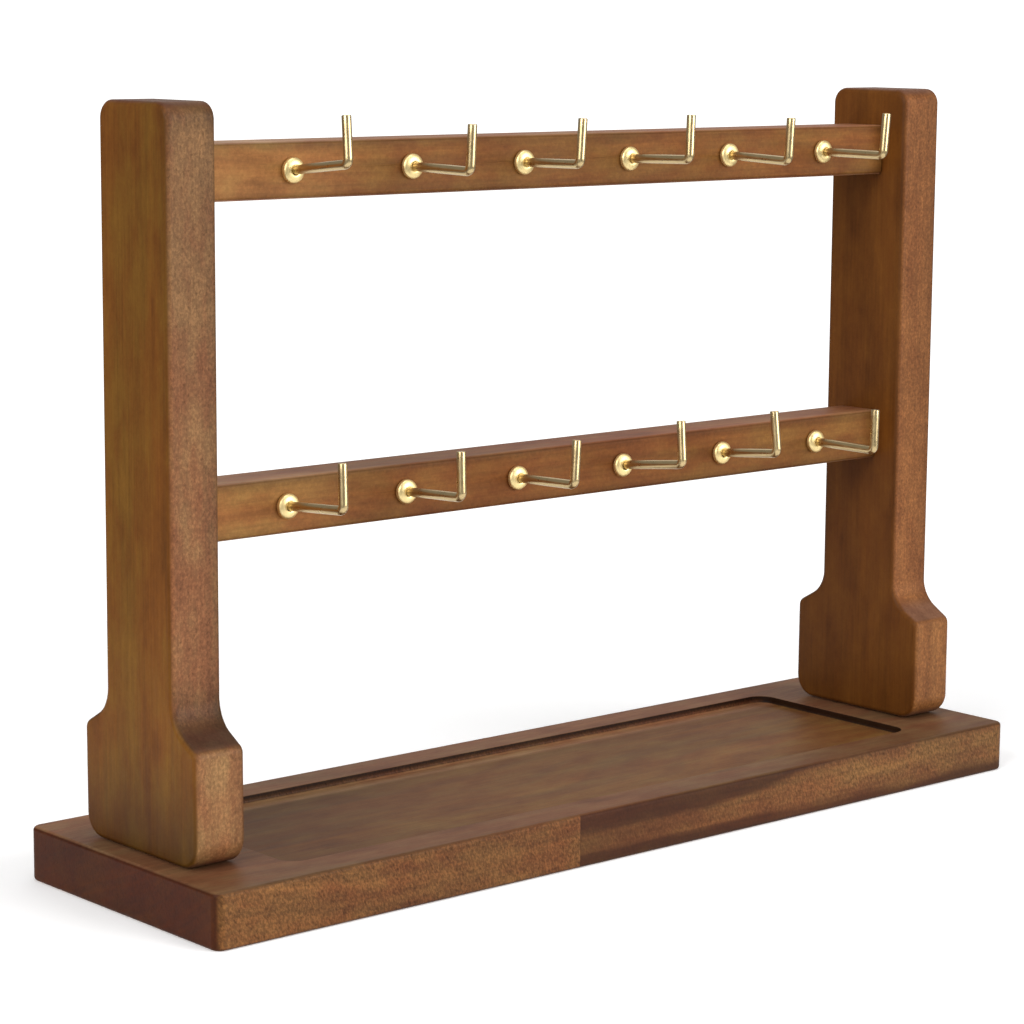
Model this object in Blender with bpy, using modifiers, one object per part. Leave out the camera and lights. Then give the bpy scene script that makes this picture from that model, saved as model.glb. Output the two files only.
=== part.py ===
"""Counter-top display rack: a walnut-stained wooden stand with two rails of brass L hooks.

A base board with a shallow routed tray carries two uprights with wide rounded feet. Two square
rails are dowelled between the uprights, and each rail holds a row of screw-in L hooks, every one
with a loose round collar against the wood. Wood screws come up through the base into the uprights.

Axes: +X to the right, +Y to the back, +Z up. The origin is the middle of the base's underside.
"""
import math

import bmesh
import bpy

MM = 0.001

# ---- Driving dimensions, in metres ----
BASE_LENGTH = 357 * MM
BASE_DEPTH = 103 * MM
BASE_THICKNESS = 18 * MM
BASE_CORNER_RADIUS = 3.5 * MM

TRAY_LENGTH = 282 * MM
TRAY_WIDTH = 75 * MM
TRAY_DEPTH = 2.8 * MM
TRAY_CORNER_RADIUS = 6.35 * MM
TRAY_COVE_RADIUS = 1.2 * MM

RACK_HEIGHT = 249.5 * MM
UPRIGHT_THICKNESS = 18.4 * MM
UPRIGHT_INSET = 7.8 * MM
POST_DEPTH = 36 * MM
POST_TOP_RADIUS = 5.5 * MM
FOOT_DEPTH = 60.5 * MM
FOOT_SHOULDER_HEIGHT = 50 * MM
FOOT_SHOULDER_RADIUS = 11 * MM
FOOT_SHOULDER_TURN = math.radians(60)
FOOT_NOSE_RADIUS = 2 * MM
FOOT_HEEL_RADIUS = 8 * MM

RAIL_HEIGHT = 17.8 * MM
RAIL_DEPTH = 17.6 * MM
RAIL_FRONT_Y = -7.4 * MM
UPPER_RAIL_TOP = 236.5 * MM
LOWER_RAIL_TOP = 132 * MM
WOOD_EDGE_RADIUS = 1.4 * MM

UPPER_HOOK_SPACING = 47.3 * MM
LOWER_HOOK_SPACING = 47.7 * MM
UPPER_ROW_OFFSET = 1.6 * MM
LOWER_ROW_OFFSET = 0 * MM
WIRE_RADIUS = 1.5 * MM
HOOK_REACH = 29.2 * MM
HOOK_RISE = 14.7 * MM
HOOK_BEND_RADIUS = 1.9 * MM
HOOK_TIP_CHAMFER = 0.25 * MM
HOOK_SHANK = 13 * MM
HOOK_THREAD_LENGTH = 11 * MM
HOOK_THREAD_PITCH = 1.8 * MM
HOOK_THREAD_ROOT = 0.74      # of the wire's radius
HOOK_POINT = 0.3
HOOK_TIP = 0.82

# How each hook was left when it was screwed in, in degrees off square:
# (tip raised, upright end leaning right, leg swung right), from left to right.
UPPER_HOOK_TILTS = ((6, 1.5, -1), (-1, 2, 0.5), (1, 4.5, -2), (1.5, 3.5, 1), (-2, 1.5, 0.5), (-0.5, 5, 1))
LOWER_HOOK_TILTS = ((4, 1.5, 0), (3, 1, -1), (2, 5, -0.5), (6.5, 2.5, 2), (6, -1.5, -2), (-0.5, 0.5, 0.5))

COLLAR_RADIUS = 4.0 * MM
COLLAR_BORE_RADIUS = 2.0 * MM
COLLAR_HEIGHT = 2.2 * MM
COLLAR_RIM = 1.1 * MM

DOWEL_RADIUS = 2.5 * MM
DOWEL_IN_UPRIGHT = 10 * MM
DOWEL_IN_RAIL = 14 * MM
DOWEL_SPACING = 9 * MM
DOWEL_CHAMFER = 0.6 * MM

SCREW_LENGTH = 40 * MM
SCREW_SPACING = 28 * MM
SCREW_RADIUS = 2.0 * MM
SCREW_ROOT_RADIUS = 1.4 * MM
SCREW_HEAD_RADIUS = 4.0 * MM
SCREW_HEAD_EDGE = 0.3 * MM
SCREW_HEAD_CONE = 2.4 * MM
SCREW_HEAD_RECESS = 0.8 * MM
SCREW_THREAD_START = 13 * MM
SCREW_THREAD_PITCH = 3.0 * MM
SCREW_TIP = 4.0 * MM
CROSS_ARM = 2.2 * MM
CROSS_WIDTH = 0.9 * MM
CROSS_TAPER = 0.8            # width of an arm's end, of its width at the middle
CROSS_DEPTH = 1.6 * MM

GAP = 0.3 * MM              # clearance that touching pieces keep
OVERRUN = 1 * MM            # how far a cutter reaches past the face that it opens
WELD_DISTANCE = 0.01 * MM

# ---- How finely curves are faceted ----
CORNER_STEPS = 5
EDGE_STEPS = 3
BASE_CORNER_STEPS = 4
DOME_STEPS = 4
DOWEL_SIDES = 12
SCREW_SIDES = 12
SCREW_HOLE_SIDES = 16
DOWEL_HOLE_SIDES = 16
PILOT_SIDES = 12
COLLAR_SIDES = 14
WIRE_RESOLUTION = 2
SHARP_ANGLE = math.radians(40)

# ---- Derived places ----
UPRIGHT_BOTTOM = BASE_THICKNESS + GAP
UPRIGHT_X = BASE_LENGTH / 2 - UPRIGHT_INSET - UPRIGHT_THICKNESS / 2
RAIL_END_X = UPRIGHT_X - UPRIGHT_THICKNESS / 2
RAIL_MIDDLE_Y = RAIL_FRONT_Y + RAIL_DEPTH / 2
SIDES = (("left", -1), ("right", 1))
RAILS = (("upper", UPPER_RAIL_TOP, UPPER_HOOK_SPACING, UPPER_ROW_OFFSET, UPPER_HOOK_TILTS),
         ("lower", LOWER_RAIL_TOP, LOWER_HOOK_SPACING, LOWER_ROW_OFFSET, LOWER_HOOK_TILTS))


# ---- Scene helpers ----
def clear_scene():
    for obj in list(bpy.data.objects):
        bpy.data.objects.remove(obj, do_unlink=True)


def new_collection(name):
    collection = bpy.data.collections.new(name)
    bpy.context.scene.collection.children.link(collection)
    return collection


def new_material(name, colour, roughness, metallic=0.0):
    material = bpy.data.materials.new(name)
    material.use_nodes = True
    shader = material.node_tree.nodes["Principled BSDF"]
    shader.inputs["Base Color"].default_value = (*colour, 1.0)
    shader.inputs["Roughness"].default_value = roughness
    shader.inputs["Metallic"].default_value = metallic
    material.diffuse_color = (*colour, 1.0)
    return material


def add_part(name, data, material, location=(0, 0, 0), rotation=(0, 0, 0)):
    """Put a named sub-part in the rack's collection, under the rack's empty."""
    part = bpy.data.objects.new(name, data)
    part.location = location
    part.rotation_euler = rotation
    part.parent = rack
    if not data.materials:
        data.materials.append(material)
    parts.objects.link(part)
    return part


def add_cutter(name, data, location=(0, 0, 0), rotation=(0, 0, 0)):
    cutter = bpy.data.objects.new(name, data)
    cutter.location = location
    cutter.rotation_euler = rotation
    cutter.display_type = "WIRE"
    cutter.hide_render = True
    cutters.objects.link(cutter)
    return cutter


def cut(part, cutter):
    boolean = part.modifiers.new("cut_" + cutter.name, "BOOLEAN")
    boolean.operation = "DIFFERENCE"
    boolean.solver = "EXACT"
    boolean.object = cutter


def round_edges(part, radius):
    """Round the edges sharper than an arc's own facets."""
    bevel = part.modifiers.new("rounded_edges", "BEVEL")
    bevel.width = radius
    bevel.segments = EDGE_STEPS
    bevel.limit_method = "ANGLE"
    bevel.angle_limit = SHARP_ANGLE
    bevel.use_clamp_overlap = False


# ---- Shape helpers ----
def arc(centre, radius, start, end, steps):
    """Points on an arc about centre, from one angle to another in degrees."""
    points = []
    for step in range(steps + 1):
        angle = math.radians(start + (end - start) * step / steps)
        points.append((centre[0] + radius * math.cos(angle), centre[1] + radius * math.sin(angle)))
    return points


def rounded_rectangle(length, width, radius, steps):
    x = length / 2 - radius
    y = width / 2 - radius
    outline = arc((x, y), radius, 0, 90, steps)
    outline += arc((-x, y), radius, 90, 180, steps)
    outline += arc((-x, -y), radius, 180, 270, steps)
    outline += arc((x, -y), radius, 270, 360, steps)
    return outline


def solid_mesh(obj, name, merge_flat_faces=False):
    """The object's evaluated shape as one welded mesh; the object itself is removed."""
    evaluated = obj.evaluated_get(bpy.context.evaluated_depsgraph_get())
    mesh = bpy.data.meshes.new_from_object(evaluated)
    mesh.name = name
    bpy.data.objects.remove(obj, do_unlink=True)
    shape = bmesh.new()
    shape.from_mesh(mesh)
    bmesh.ops.remove_doubles(shape, verts=shape.verts, dist=WELD_DISTANCE)
    if merge_flat_faces:
        bmesh.ops.dissolve_limit(shape, angle_limit=math.radians(1), verts=shape.verts, edges=shape.edges)
    bmesh.ops.recalc_face_normals(shape, faces=shape.faces)
    shape.to_mesh(mesh)
    shape.free()
    return mesh


def smooth(mesh):
    """Shade a round piece smooth, but keep its real edges sharp."""
    mesh.shade_smooth()
    mesh.set_sharp_from_angle(angle=SHARP_ANGLE)
    return mesh


def plate_mesh(name, outline, thickness):
    """A flat outline with thickness, centred on its own plane."""
    curve = bpy.data.curves.new(name, "CURVE")
    curve.dimensions = "2D"
    curve.fill_mode = "BOTH"
    curve.extrude = thickness / 2
    spline = curve.splines.new("POLY")
    spline.points.add(len(outline) - 1)
    for point, (x, y) in zip(spline.points, outline):
        point.co = (x, y, 0, 1)
    spline.use_cyclic_u = True
    flat = bpy.data.objects.new(name, curve)
    bpy.context.scene.collection.objects.link(flat)
    return solid_mesh(flat, name, merge_flat_faces=True)


def turned_mesh(name, profile, steps, ring=False):
    """A profile of (radius, height) points, from the top down the outside, turned about Z."""
    mesh = bpy.data.meshes.new(name)
    edges = [(i, i + 1) for i in range(len(profile) - 1)]
    if ring:
        edges.append((len(profile) - 1, 0))
    mesh.from_pydata([(radius, 0, height) for radius, height in profile], edges, [])
    turned = bpy.data.objects.new(name, mesh)
    bpy.context.scene.collection.objects.link(turned)
    screw = turned.modifiers.new("turn", "SCREW")
    screw.axis = "Z"
    screw.steps = steps
    screw.render_steps = steps
    screw.use_merge_vertices = True
    screw.merge_threshold = WELD_DISTANCE
    return smooth(solid_mesh(turned, name))


def cylinder_mesh(name, radius, length, segments):
    """A cylinder along Z that starts at its own origin."""
    shape = bmesh.new()
    bmesh.ops.create_cone(shape, cap_ends=True, segments=segments, radius1=radius, radius2=radius,
                          depth=length)
    bmesh.ops.translate(shape, verts=shape.verts, vec=(0, 0, length / 2))
    mesh = bpy.data.meshes.new(name)
    shape.to_mesh(mesh)
    shape.free()
    return mesh


# ---- Wooden parts ----
def make_base():
    outline = rounded_rectangle(BASE_LENGTH, BASE_DEPTH, BASE_CORNER_RADIUS, BASE_CORNER_STEPS)
    board = add_part("base_board", plate_mesh("base_board", outline, BASE_THICKNESS), base_wood,
                     location=(0, 0, BASE_THICKNESS / 2))
    round_edges(board, WOOD_EDGE_RADIUS)

    tray_outline = rounded_rectangle(TRAY_LENGTH, TRAY_WIDTH, TRAY_CORNER_RADIUS, CORNER_STEPS)
    tray_height = TRAY_DEPTH + 3 * TRAY_COVE_RADIUS
    tray_middle = BASE_THICKNESS - TRAY_DEPTH + tray_height / 2
    tray = add_cutter("tray_cutter", plate_mesh("tray_cutter", tray_outline, tray_height),
                      location=(0, 0, tray_middle))
    round_edges(tray, TRAY_COVE_RADIUS)
    cut(board, tray)
    return board


def upright_outline():
    """Side view of an upright, with (0, 0) under the middle of its foot."""
    height = RACK_HEIGHT - UPRIGHT_BOTTOM
    foot = FOOT_DEPTH / 2
    post = POST_DEPTH / 2
    turn = math.degrees(FOOT_SHOULDER_TURN)
    slope = math.pi / 2 - FOOT_SHOULDER_TURN

    shoulder_x = post + FOOT_SHOULDER_RADIUS * (1 - math.cos(FOOT_SHOULDER_TURN))
    shoulder_drop = FOOT_SHOULDER_RADIUS * math.sin(FOOT_SHOULDER_TURN)
    nose_x = foot - FOOT_NOSE_RADIUS * (1 - math.cos(FOOT_SHOULDER_TURN))
    nose_drop = shoulder_drop + (nose_x - shoulder_x) * math.tan(slope)
    nose_drop += FOOT_NOSE_RADIUS * math.sin(FOOT_SHOULDER_TURN)

    side = arc((foot - FOOT_HEEL_RADIUS, FOOT_HEEL_RADIUS), FOOT_HEEL_RADIUS, -90, 0, CORNER_STEPS)
    side += arc((foot - FOOT_NOSE_RADIUS, FOOT_SHOULDER_HEIGHT - nose_drop), FOOT_NOSE_RADIUS,
                0, turn, EDGE_STEPS)
    side += arc((post + FOOT_SHOULDER_RADIUS, FOOT_SHOULDER_HEIGHT), FOOT_SHOULDER_RADIUS,
                180 + turn, 180, CORNER_STEPS)
    side += arc((post - POST_TOP_RADIUS, height - POST_TOP_RADIUS), POST_TOP_RADIUS, 0, 90, CORNER_STEPS)
    return side + [(-x, z) for x, z in reversed(side)]


def make_upright(name, side):
    """The outline stands up on its edge: its x runs to the back and its y runs up."""
    upright = add_part(name, plate_mesh(name, upright_outline(), UPRIGHT_THICKNESS), upright_wood,
                       location=(side * UPRIGHT_X, 0, UPRIGHT_BOTTOM),
                       rotation=(math.pi / 2, 0, math.pi / 2))
    round_edges(upright, WOOD_EDGE_RADIUS)
    return upright


def make_rail(name, top):
    shape = bmesh.new()
    bmesh.ops.create_cube(shape, size=1)
    bmesh.ops.scale(shape, verts=shape.verts, vec=(2 * (RAIL_END_X - GAP), RAIL_DEPTH, RAIL_HEIGHT))
    mesh = bpy.data.meshes.new(name)
    shape.to_mesh(mesh)
    shape.free()
    rail = add_part(name, mesh, rail_wood, location=(0, RAIL_MIDDLE_Y, top - RAIL_HEIGHT / 2))
    round_edges(rail, WOOD_EDGE_RADIUS)
    return rail


# ---- Dowels and screws ----
def make_dowels(rail_name, rail, rail_top, side_name, side, upright):
    """Two dowels, one above the other, join a rail's end to an upright."""
    for number, offset in ((1, DOWEL_SPACING / 2), (2, -DOWEL_SPACING / 2)):
        name = f"{rail_name}_{side_name}_dowel_{number}"
        height = rail_top - RAIL_HEIGHT / 2 + offset
        rotation = (0, -side * math.pi / 2, 0)
        outer_end = side * (RAIL_END_X + DOWEL_IN_UPRIGHT)
        add_part(name, dowel_mesh, dowel_wood, location=(outer_end, RAIL_MIDDLE_Y, height),
                 rotation=rotation)
        hole = add_cutter(name + "_hole", dowel_hole_mesh,
                          location=(outer_end + side * GAP, RAIL_MIDDLE_Y, height), rotation=rotation)
        cut(rail, hole)
        cut(upright, hole)


def dowel_profile():
    length = DOWEL_IN_UPRIGHT + DOWEL_IN_RAIL
    chamfered = DOWEL_RADIUS - DOWEL_CHAMFER
    return [(0, length), (chamfered, length), (DOWEL_RADIUS, length - DOWEL_CHAMFER),
            (DOWEL_RADIUS, DOWEL_CHAMFER), (chamfered, 0), (0, 0)]


def wood_screw_mesh():
    """A countersunk wood screw, point up, with its thread as rings and a cross recess."""
    profile = [(0, SCREW_LENGTH)]
    height = SCREW_LENGTH - SCREW_TIP
    while height > SCREW_THREAD_START:
        profile.append((SCREW_ROOT_RADIUS, height))
        profile.append((SCREW_RADIUS, height - SCREW_THREAD_PITCH / 2))
        height -= SCREW_THREAD_PITCH
    profile.append((SCREW_ROOT_RADIUS, height))
    profile.append((SCREW_ROOT_RADIUS, SCREW_HEAD_CONE))
    profile.append((SCREW_HEAD_RADIUS, SCREW_HEAD_EDGE))
    profile.append((SCREW_HEAD_RADIUS, 0))
    profile.append((0, 0))
    screw = bpy.data.objects.new("uncut_screw", turned_mesh("wood_screw", profile, SCREW_SIDES))
    bpy.context.scene.collection.objects.link(screw)

    half = CROSS_WIDTH / 2
    arm_end = CROSS_TAPER * half
    quarter = [(CROSS_ARM, -arm_end), (CROSS_ARM, arm_end), (half, half)]
    cross = [(x * math.cos(a) - y * math.sin(a), x * math.sin(a) + y * math.cos(a))
             for a in (0, math.pi / 2, math.pi, 3 * math.pi / 2) for x, y in quarter]
    recess = add_cutter("cross_recess", plate_mesh("cross_recess", cross, 2 * CROSS_DEPTH))
    cut(screw, recess)
    mesh = smooth(solid_mesh(screw, "wood_screw"))
    bpy.data.objects.remove(recess, do_unlink=True)
    return mesh


def screw_hole_mesh():
    """The clearance hole for a wood screw, with its countersink, a gap larger all round."""
    depth = SCREW_LENGTH + GAP
    clearance = SCREW_RADIUS + GAP
    head = SCREW_HEAD_RADIUS + GAP
    profile = [(0, depth), (clearance, depth), (clearance, SCREW_HEAD_CONE + GAP), (head, GAP),
               (head, -SCREW_HEAD_RECESS - OVERRUN), (0, -SCREW_HEAD_RECESS - OVERRUN)]
    return turned_mesh("screw_hole", profile, SCREW_HOLE_SIDES)


def make_screws(side_name, side, board, upright):
    for place, y in (("front", -SCREW_SPACING / 2), ("back", SCREW_SPACING / 2)):
        name = f"base_screw_{side_name}_{place}"
        location = (side * UPRIGHT_X, y, SCREW_HEAD_RECESS)
        add_part(name, screw_mesh, screw_steel, location=location)
        hole = add_cutter(name + "_hole", screw_hole, location=location)
        cut(board, hole)
        cut(upright, hole)


# ---- Hooks and collars ----
def hook_path():
    """(y, z, thickness factor) along the wire, from the screw point to the tip of the hook."""
    path = [(HOOK_SHANK, 0, HOOK_POINT)]
    y = HOOK_THREAD_LENGTH
    while y > HOOK_THREAD_PITCH:
        path.append((y, 0, HOOK_THREAD_ROOT))
        path.append((y - HOOK_THREAD_PITCH / 2, 0, 1))
        y -= HOOK_THREAD_PITCH
    path.append((y, 0, HOOK_THREAD_ROOT))
    path.append((y - HOOK_THREAD_PITCH / 4, 0, 1))
    bend = (-(HOOK_REACH - HOOK_BEND_RADIUS), HOOK_BEND_RADIUS)
    path += [(y, z, 1) for y, z in arc(bend, HOOK_BEND_RADIUS, 270, 180, CORNER_STEPS)]
    path.append((-HOOK_REACH, HOOK_RISE - HOOK_TIP_CHAMFER, 1))
    path.append((-HOOK_REACH, HOOK_RISE, HOOK_TIP))
    return path


def hook_curve():
    curve = bpy.data.curves.new("hook_wire", "CURVE")
    curve.dimensions = "3D"
    curve.bevel_depth = WIRE_RADIUS
    curve.bevel_resolution = WIRE_RESOLUTION
    curve.use_fill_caps = True
    path = hook_path()
    spline = curve.splines.new("POLY")
    spline.points.add(len(path) - 1)
    for point, (y, z, factor) in zip(spline.points, path):
        point.co = (0, y, z, 1)
        point.radius = factor
    return curve


def collar_profile():
    """A low dome with a bore: over the top, down the rim, and back along the flat side."""
    width = COLLAR_RADIUS - COLLAR_BORE_RADIUS
    dome = COLLAR_HEIGHT - COLLAR_RIM
    profile = []
    for step in range(DOME_STEPS + 1):
        angle = math.pi / 2 * step / DOME_STEPS
        profile.append((COLLAR_BORE_RADIUS + width * math.sin(angle), COLLAR_RIM + dome * math.cos(angle)))
    return profile + [(COLLAR_RADIUS, 0), (COLLAR_BORE_RADIUS, 0)]


def make_hook_row(rail_name, rail, rail_top, spacing, row_offset, tilts):
    height = rail_top - RAIL_HEIGHT / 2
    for index, (rise, lean, swing) in enumerate(tilts):
        x = row_offset + (index - (len(tilts) - 1) / 2) * spacing
        tilt = (math.radians(-rise), math.radians(lean), math.radians(swing))
        add_part(f"{rail_name}_hook_{index + 1}", hook_wire, hook_brass,
                 location=(x, RAIL_FRONT_Y, height), rotation=tilt)
        add_part(f"{rail_name}_collar_{index + 1}", collar_mesh, collar_brass,
                 location=(x, RAIL_FRONT_Y - GAP, height), rotation=(math.pi / 2, 0, 0))
        pilot = add_cutter(f"{rail_name}_hook_{index + 1}_pilot", pilot_mesh,
                           location=(x, RAIL_FRONT_Y, height), rotation=tilt)
        cut(rail, pilot)


def pilot_hole_mesh():
    """A blind hole along +Y that opens just in front of the rail's face."""
    mesh = cylinder_mesh("pilot_hole", WIRE_RADIUS + GAP, HOOK_SHANK + GAP + OVERRUN, PILOT_SIDES)
    shape = bmesh.new()
    shape.from_mesh(mesh)
    for vertex in shape.verts:
        x, y, z = vertex.co
        vertex.co = (x, z - OVERRUN, -y)
    shape.to_mesh(mesh)
    shape.free()
    return mesh


# ---- The rack ----
clear_scene()
parts = new_collection("eyeglass_display_rack")
cutters = new_collection("cutters")
rack = bpy.data.objects.new("rack", None)
parts.objects.link(rack)

base_wood = new_material("base_wood", (0.19, 0.095, 0.045), 0.5)
upright_wood = new_material("upright_wood", (0.17, 0.075, 0.03), 0.5)
rail_wood = new_material("rail_wood", (0.26, 0.12, 0.05), 0.5)
dowel_wood = new_material("dowel_wood", (0.62, 0.45, 0.27), 0.7)
hook_brass = new_material("hook_brass", (0.78, 0.62, 0.36), 0.28, metallic=1.0)
collar_brass = new_material("collar_brass", (0.83, 0.68, 0.38), 0.3, metallic=1.0)
screw_steel = new_material("screw_steel", (0.55, 0.55, 0.56), 0.35, metallic=1.0)

dowel_mesh = turned_mesh("dowel", dowel_profile(), DOWEL_SIDES)
dowel_hole_mesh = cylinder_mesh("dowel_hole", DOWEL_RADIUS + GAP,
                                DOWEL_IN_UPRIGHT + DOWEL_IN_RAIL + 2 * GAP, DOWEL_HOLE_SIDES)
screw_mesh = wood_screw_mesh()
screw_hole = screw_hole_mesh()
hook_wire = hook_curve()
collar_mesh = turned_mesh("collar", collar_profile(), COLLAR_SIDES, ring=True)
pilot_mesh = pilot_hole_mesh()

base_board = make_base()
uprights = {name: make_upright(name + "_upright", side) for name, side in SIDES}
for rail_name, rail_top, spacing, row_offset, tilts in RAILS:
    rail = make_rail(rail_name + "_rail", rail_top)
    for side_name, side in SIDES:
        make_dowels(rail_name, rail, rail_top, side_name, side, uprights[side_name])
    make_hook_row(rail_name, rail, rail_top, spacing, row_offset, tilts)
for side_name, side in SIDES:
    make_screws(side_name, side, base_board, uprights[side_name])
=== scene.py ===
import math

import bmesh
import bpy
from mathutils import Euler, Matrix, Vector, noise


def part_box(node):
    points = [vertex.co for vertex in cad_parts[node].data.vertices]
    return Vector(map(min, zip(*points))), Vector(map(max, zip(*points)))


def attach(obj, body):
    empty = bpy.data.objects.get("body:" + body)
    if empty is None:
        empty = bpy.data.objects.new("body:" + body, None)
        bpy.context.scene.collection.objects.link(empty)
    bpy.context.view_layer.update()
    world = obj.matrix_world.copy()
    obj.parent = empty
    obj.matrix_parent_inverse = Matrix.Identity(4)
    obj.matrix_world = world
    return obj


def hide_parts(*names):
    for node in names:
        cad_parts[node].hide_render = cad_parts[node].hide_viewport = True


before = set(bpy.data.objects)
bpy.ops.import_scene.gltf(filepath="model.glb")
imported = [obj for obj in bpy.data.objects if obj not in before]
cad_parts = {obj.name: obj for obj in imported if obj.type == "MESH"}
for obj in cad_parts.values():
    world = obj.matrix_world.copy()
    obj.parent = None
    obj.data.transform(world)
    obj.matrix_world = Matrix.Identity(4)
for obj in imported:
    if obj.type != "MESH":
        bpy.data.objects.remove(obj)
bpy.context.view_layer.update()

# Walnut-stained counter rack with brass L hooks: the fine meshes, the materials and the studio.
# All lengths are metres in the CAD frame: +X right, +Y back, +Z up, origin under the base.

MM = 0.001
BODY = "root"
SIDES = ("left", "right")
ROWS = ("upper", "lower")

# ---- Details that the CAD boxes don't give ----
BASE_CORNER_RADIUS = 3.5 * MM
TRAY_LENGTH = 282 * MM
TRAY_WIDTH = 75 * MM
TRAY_DEPTH = 2.8 * MM
TRAY_CORNER_RADIUS = 6.35 * MM
TRAY_COVE_RADIUS = 1.2 * MM
TRAY_RIM_RADIUS = 0.35 * MM
STAVE_JOINT_X = -33.3 * MM

POST_DEPTH = 36 * MM
POST_TOP_RADIUS = 5.5 * MM
FOOT_SHOULDER_HEIGHT = 50 * MM
FOOT_SHOULDER_RADIUS = 11 * MM
FOOT_SHOULDER_TURN = 60
FOOT_NOSE_RADIUS = 3.2 * MM
FOOT_HEEL_RADIUS = 8 * MM
WOOD_EDGE_RADIUS = 1.4 * MM
UPRIGHT_EDGE_RADIUS = 1.9 * MM

WIRE_RADIUS = 1.5 * MM
HOOK_REACH = 29.2 * MM
HOOK_RISE = 14.7 * MM
HOOK_BEND_RADIUS = 1.9 * MM
HOOK_SHANK = 13 * MM
HOOK_THREAD_LENGTH = 11 * MM
HOOK_THREAD_PITCH = 1.5 * MM
HOOK_ROOT = 0.76
COLLAR_BORE_RADIUS = 1.56 * MM
COLLAR_RIM = 0.9 * MM
DOWEL_RADIUS = 2.5 * MM
SCREW_RADIUS = 2.0 * MM
SCREW_HEAD_CONE = 2.4 * MM
GAP = 0.3 * MM
OVERRUN = 1 * MM

BORE_CHAMFER = 0.3 * MM
COLLAR_LIP = 0.1 * MM
COLLAR_EDGE = 0.15 * MM
COLLAR_FIRST_TURN = 0.06        # of a quarter turn, where the dome leaves the bore
RAIL_END_CHAMFER = 0.25 * MM
HOOK_TIP_ROUNDING = 0.25 * MM
HOOK_POINT_LENGTH = 2 * MM
HOOK_POINT_SHARE = 0.15         # of the wire's radius, at the tip of the screw point
HOOK_THREAD_FADE = 1 * MM

# How each hook was left when it was screwed in, in degrees off square:
# (tip raised, upright end leaning right, leg swung right), from left to right.
HOOK_TILTS = {
    "upper": ((6, 1.5, -1), (-1, 2, 0.5), (1, 4.5, -2),
              (1.5, 3.5, 1), (-2, 1.5, 0.5), (-0.5, 5, 1)),
    "lower": ((4, 1.5, 0), (3, 1, -1), (2, 5, -0.5),
              (6.5, 2.5, 2), (6, -1.5, -2), (-0.5, 0.5, 0.5)),
}

# ---- Facets: sides of round things, and steps round each corner ----
HOLE_SIDES = 32
PILOT_SIDES = 24
WIRE_SIDES = 32
COLLAR_SIDES = 48
FLOOR_SIDES = 128
CORNER_STEPS = 10
RAIL_EDGE_STEPS = 6
HEEL_STEPS = 12
NOSE_STEPS = 8
SHOULDER_STEPS = 14
TOP_STEPS = 12
SHARP_ANGLE = 40
MITRE_LIMIT = 0.5
UPRIGHT_WOBBLE = 0.5            # share by which the rounding of an upright's edges varies
WOBBLE_SCALE = 70               # per metre, of the unevenness that sanding left

# ---- Wood: noise scales are per metre along the grain and across it ----
DRIFT_SCALE = (7, 38, 38)
SWAY_SCALE = (5, 12, 12)
MOTTLE_SCALE = (45, 110, 110)
FIBRE_SCALE = (30, 1000, 1000)
SQUARE_ON = (0.5, 0.9)          # the normal's share where one face's colour takes over
ROUNDED_OVER = (0.99, 0.88)
PITH_OFFSET = (0, 0.05, 0.11)   # from the tree's middle to the board's axis
BANDS_PER_METRE = 330
BAND_DRIFT = 4
RING_SWAY = 0.03
VESSEL_OFFSET = (31.0, 17.0, 9.0)
MOTTLE_SWING = 1.3              # how far each layer changes the brightness
FIBRE_SWING = 0.5
PALE_LIFT = 0.75
DARK_DROP = 0.35
SPECK_MEAN = 0.22
WOOD_ROUGHNESS = 0.50
BAND_ROUGHNESS = 0.12
PORE_ROUGHNESS = 0.15
WOOD_SPECULAR = 0.12
FIBRE_RELIEF = 0.35             # shares of the relief's height
PORE_RELIEF = 0.6
WOOD_RELIEF = 0.10 * MM
METAL_RELIEF = 0.02 * MM

# ---- Colour by place, painted shade, highlight and sheen among it: shares of brightness, and tints that multiply the colour ----
PLAIN = (1, 1, 1)
TOP_EDGE_DARKENING = 0.25
RAIL_EDGE_DARKENING = 0.28
RIGHT_EDGE_DARKENING = 0.25
FRONT_EDGE_DARKENING = 0.12
# Painted highlight on the front of each upright's toe.
TOE_HIGHLIGHT_LIFT = 0.16
TOE_TINT = (1.00, 1.07, 1.05)
SEAM_STAIN = 0.3
SEAM_HALF_WIDTH = 0.1 * MM
LEFT_END_LIFT = 0.22
HEARTWOOD_TINT = (0.38, 0.30, 0.25)
HEARTWOOD_SPECKS = 0.3
BAND_TINT = (1.16, 1.24, 1.24)
# Painted sheen on the top: weaker in front of the tray, stronger behind it.
RIM_FRONT_SHEEN_TINT = (0.88, 0.90, 0.92)
RIM_BACK_SHEEN_TINT = (1.28, 1.36, 1.50)
TRAY_COLOUR = (0.158, 0.069, 0.021)
# Painted shade: the tray's floor dims to this share towards the left upright.
TRAY_LEFT_SHADE_SHARE = 0.78
# Painted shade on the tray's walls, darkest at their top.
WALL_TOP_SHADE_COLOUR = (0.020, 0.007, 0.002)
WALL_FOOT_SHADE_COLOUR = (0.095, 0.036, 0.013)
# Painted highlight along the foot of the tray's back wall.
COVE_HIGHLIGHT_COLOUR = (0.250, 0.124, 0.060)
LOWER_RAIL_TINT = (0.84, 0.78, 0.74)
UPPER_RAIL_TINT = (1.03, 1.03, 1.03)
LOWER_RAIL_END_TINT = (1.60, 1.84, 2.2)
UPPER_RAIL_END_TINT = (1.95, 2.45, 3.1)

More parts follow.
